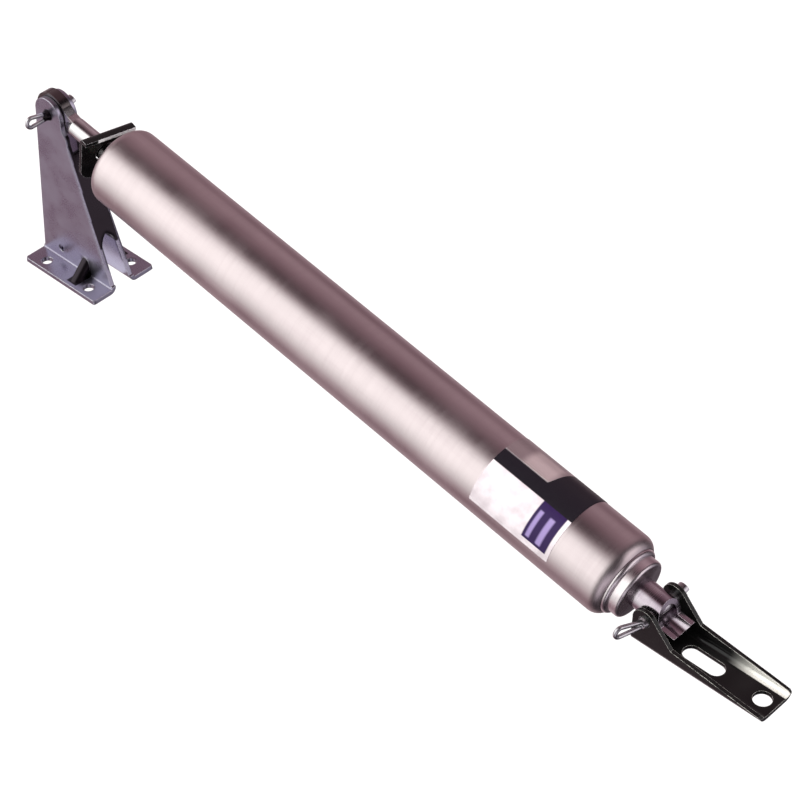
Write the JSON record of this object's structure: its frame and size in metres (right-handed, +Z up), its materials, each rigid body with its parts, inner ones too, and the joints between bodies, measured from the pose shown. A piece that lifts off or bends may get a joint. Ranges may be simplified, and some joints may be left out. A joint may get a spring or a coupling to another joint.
{
  "type": "pneumatic door closer",
  "caption": "Spring-returned air cylinder with a hold-open washer, pinned between a tall folded jamb bracket and a slotted door bracket.",
  "frame": {"origin": "centre of the jamb bracket's screw holes, on its mounting face", "axes": "+X from the jamb bracket towards the door bracket, +Z up from the mounting face, Y along both pins; the rod is fully in and both brackets stand on the plane z = 0"},
  "size_m": [0.3743, 0.0389, 0.0823],
  "materials": {
    "zinc_plate": "bright zinc plating, satin, slightly purple",
    "pin_wire": "zinc-plated wire",
    "rod_steel": "drawn steel, polished along its length",
    "black_steel": "black finish, worn bright on the sheared edges",
    "tube_metal": "satin silver with a faint mauve tint",
    "cap_metal": "pressed, satin",
    "nylon": "natural nylon",
    "felt": "oiled felt",
    "spring_wire": "oiled spring wire",
    "plate_steel": "zinc-plated washer",
    "brass": "turned brass",
    "rubber": "moulded, matte",
    "plug_metal": "turned, satin",
    "stem_metal": "bright plating, slightly mauve",
    "label_film": "printed film, white with black and indigo blocks",
    "black_gloss": "gloss black, worn bright on the rims"
  },
  "bodies": {
    "jamb_bracket": {"jamb_bracket": "zinc_plate", "jamb_pin": "pin_wire"},
    "rod": {"piston_rod": "rod_steel", "spring_seat": "plate_steel", "cup_backing": "brass", "piston_cup": "rubber", "cup_retainer": "plate_steel", "piston_nut": "plate_steel", "closing_spring": "spring_wire"},
    "tube": {"tube": "tube_metal", "jamb_end_cap": "cap_metal", "rod_bush": "nylon", "rod_wiper": "felt", "end_plug": "plug_metal", "plug_o_ring": "rubber", "end_stem": "stem_metal", "label": "label_film"},
    "hold_open_washer": {"hold_open_washer": "black_steel"},
    "adjusting_screw": {"adjusting_screw": "brass", "screw_o_ring": "rubber"},
    "door_bracket": {"door_bracket": "black_gloss", "door_pin": "pin_wire"}
  },
  "joints": [
    {"name": "jamb_pivot", "type": "hinge", "parent": "jamb_bracket", "child": "rod", "pos_m": [-0.0082, 0, 0.0735], "axis": [0, 1, 0], "range_deg": [-165, 4]},
    {"name": "rod_slide", "type": "slide", "parent": "rod", "child": "tube", "axis": [0.9817, 0, -0.1902], "range_m": [0, 0.13], "stiffness_N_per_m": 300, "springref_m": -0.06, "deforming": ["closing_spring"]},
    {"name": "washer_slide", "type": "slide", "parent": "tube", "child": "hold_open_washer", "axis": [0.9817, 0, -0.1902], "range_m": [-0.012, 0.0015]},
    {"name": "screw_turn", "type": "hinge", "parent": "tube", "child": "adjusting_screw", "pos_m": [0.29418, 0, 0.01492], "axis": [0.9817, 0, -0.1902], "range_deg": [-360, 360]},
    {"name": "door_pivot", "type": "hinge", "parent": "tube", "child": "door_bracket", "pos_m": [0.30203, 0, 0.0134], "axis": [0, 1, 0], "range_deg": [-25, 25]}
  ]
}
